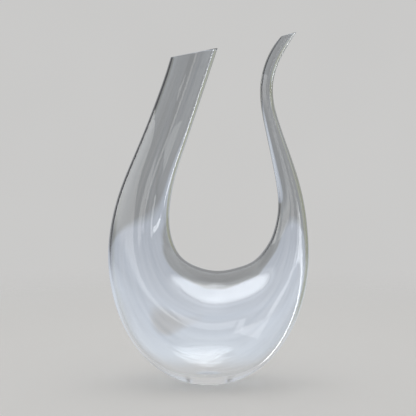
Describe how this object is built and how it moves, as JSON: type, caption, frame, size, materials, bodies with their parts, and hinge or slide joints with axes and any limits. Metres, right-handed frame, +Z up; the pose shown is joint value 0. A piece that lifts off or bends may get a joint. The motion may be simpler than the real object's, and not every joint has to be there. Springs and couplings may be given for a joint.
{
  "type": "wine decanter",
  "caption": "Lyre-shaped clear glass decanter with a wide slanted filling neck, a full belly and a slim swan-necked pouring spout.",
  "frame": {"origin": "on the standing plane, below the middle of the lyre's outline", "axes": "+Z up; +X from the filling neck to the pouring spout; Y across the lyre, which is the same on both sides"},
  "size_m": [0.1999, 0.108, 0.35],
  "materials": {
    "clear_glass": "clear, blown, smooth",
    "polished_lip_glass": "clear, cut on a slant and polished",
    "thick_foot_glass": "clear, thick, flat where it stands"
  },
  "bodies": {
    "root": {"filling_lip": "polished_lip_glass", "filling_neck": "clear_glass", "filling_shoulder": "clear_glass", "belly": "clear_glass", "standing_foot": "thick_foot_glass", "pouring_shoulder": "clear_glass", "pouring_neck": "clear_glass", "pouring_spout": "clear_glass", "pouring_lip": "polished_lip_glass"}
  },
  "joints": []
}
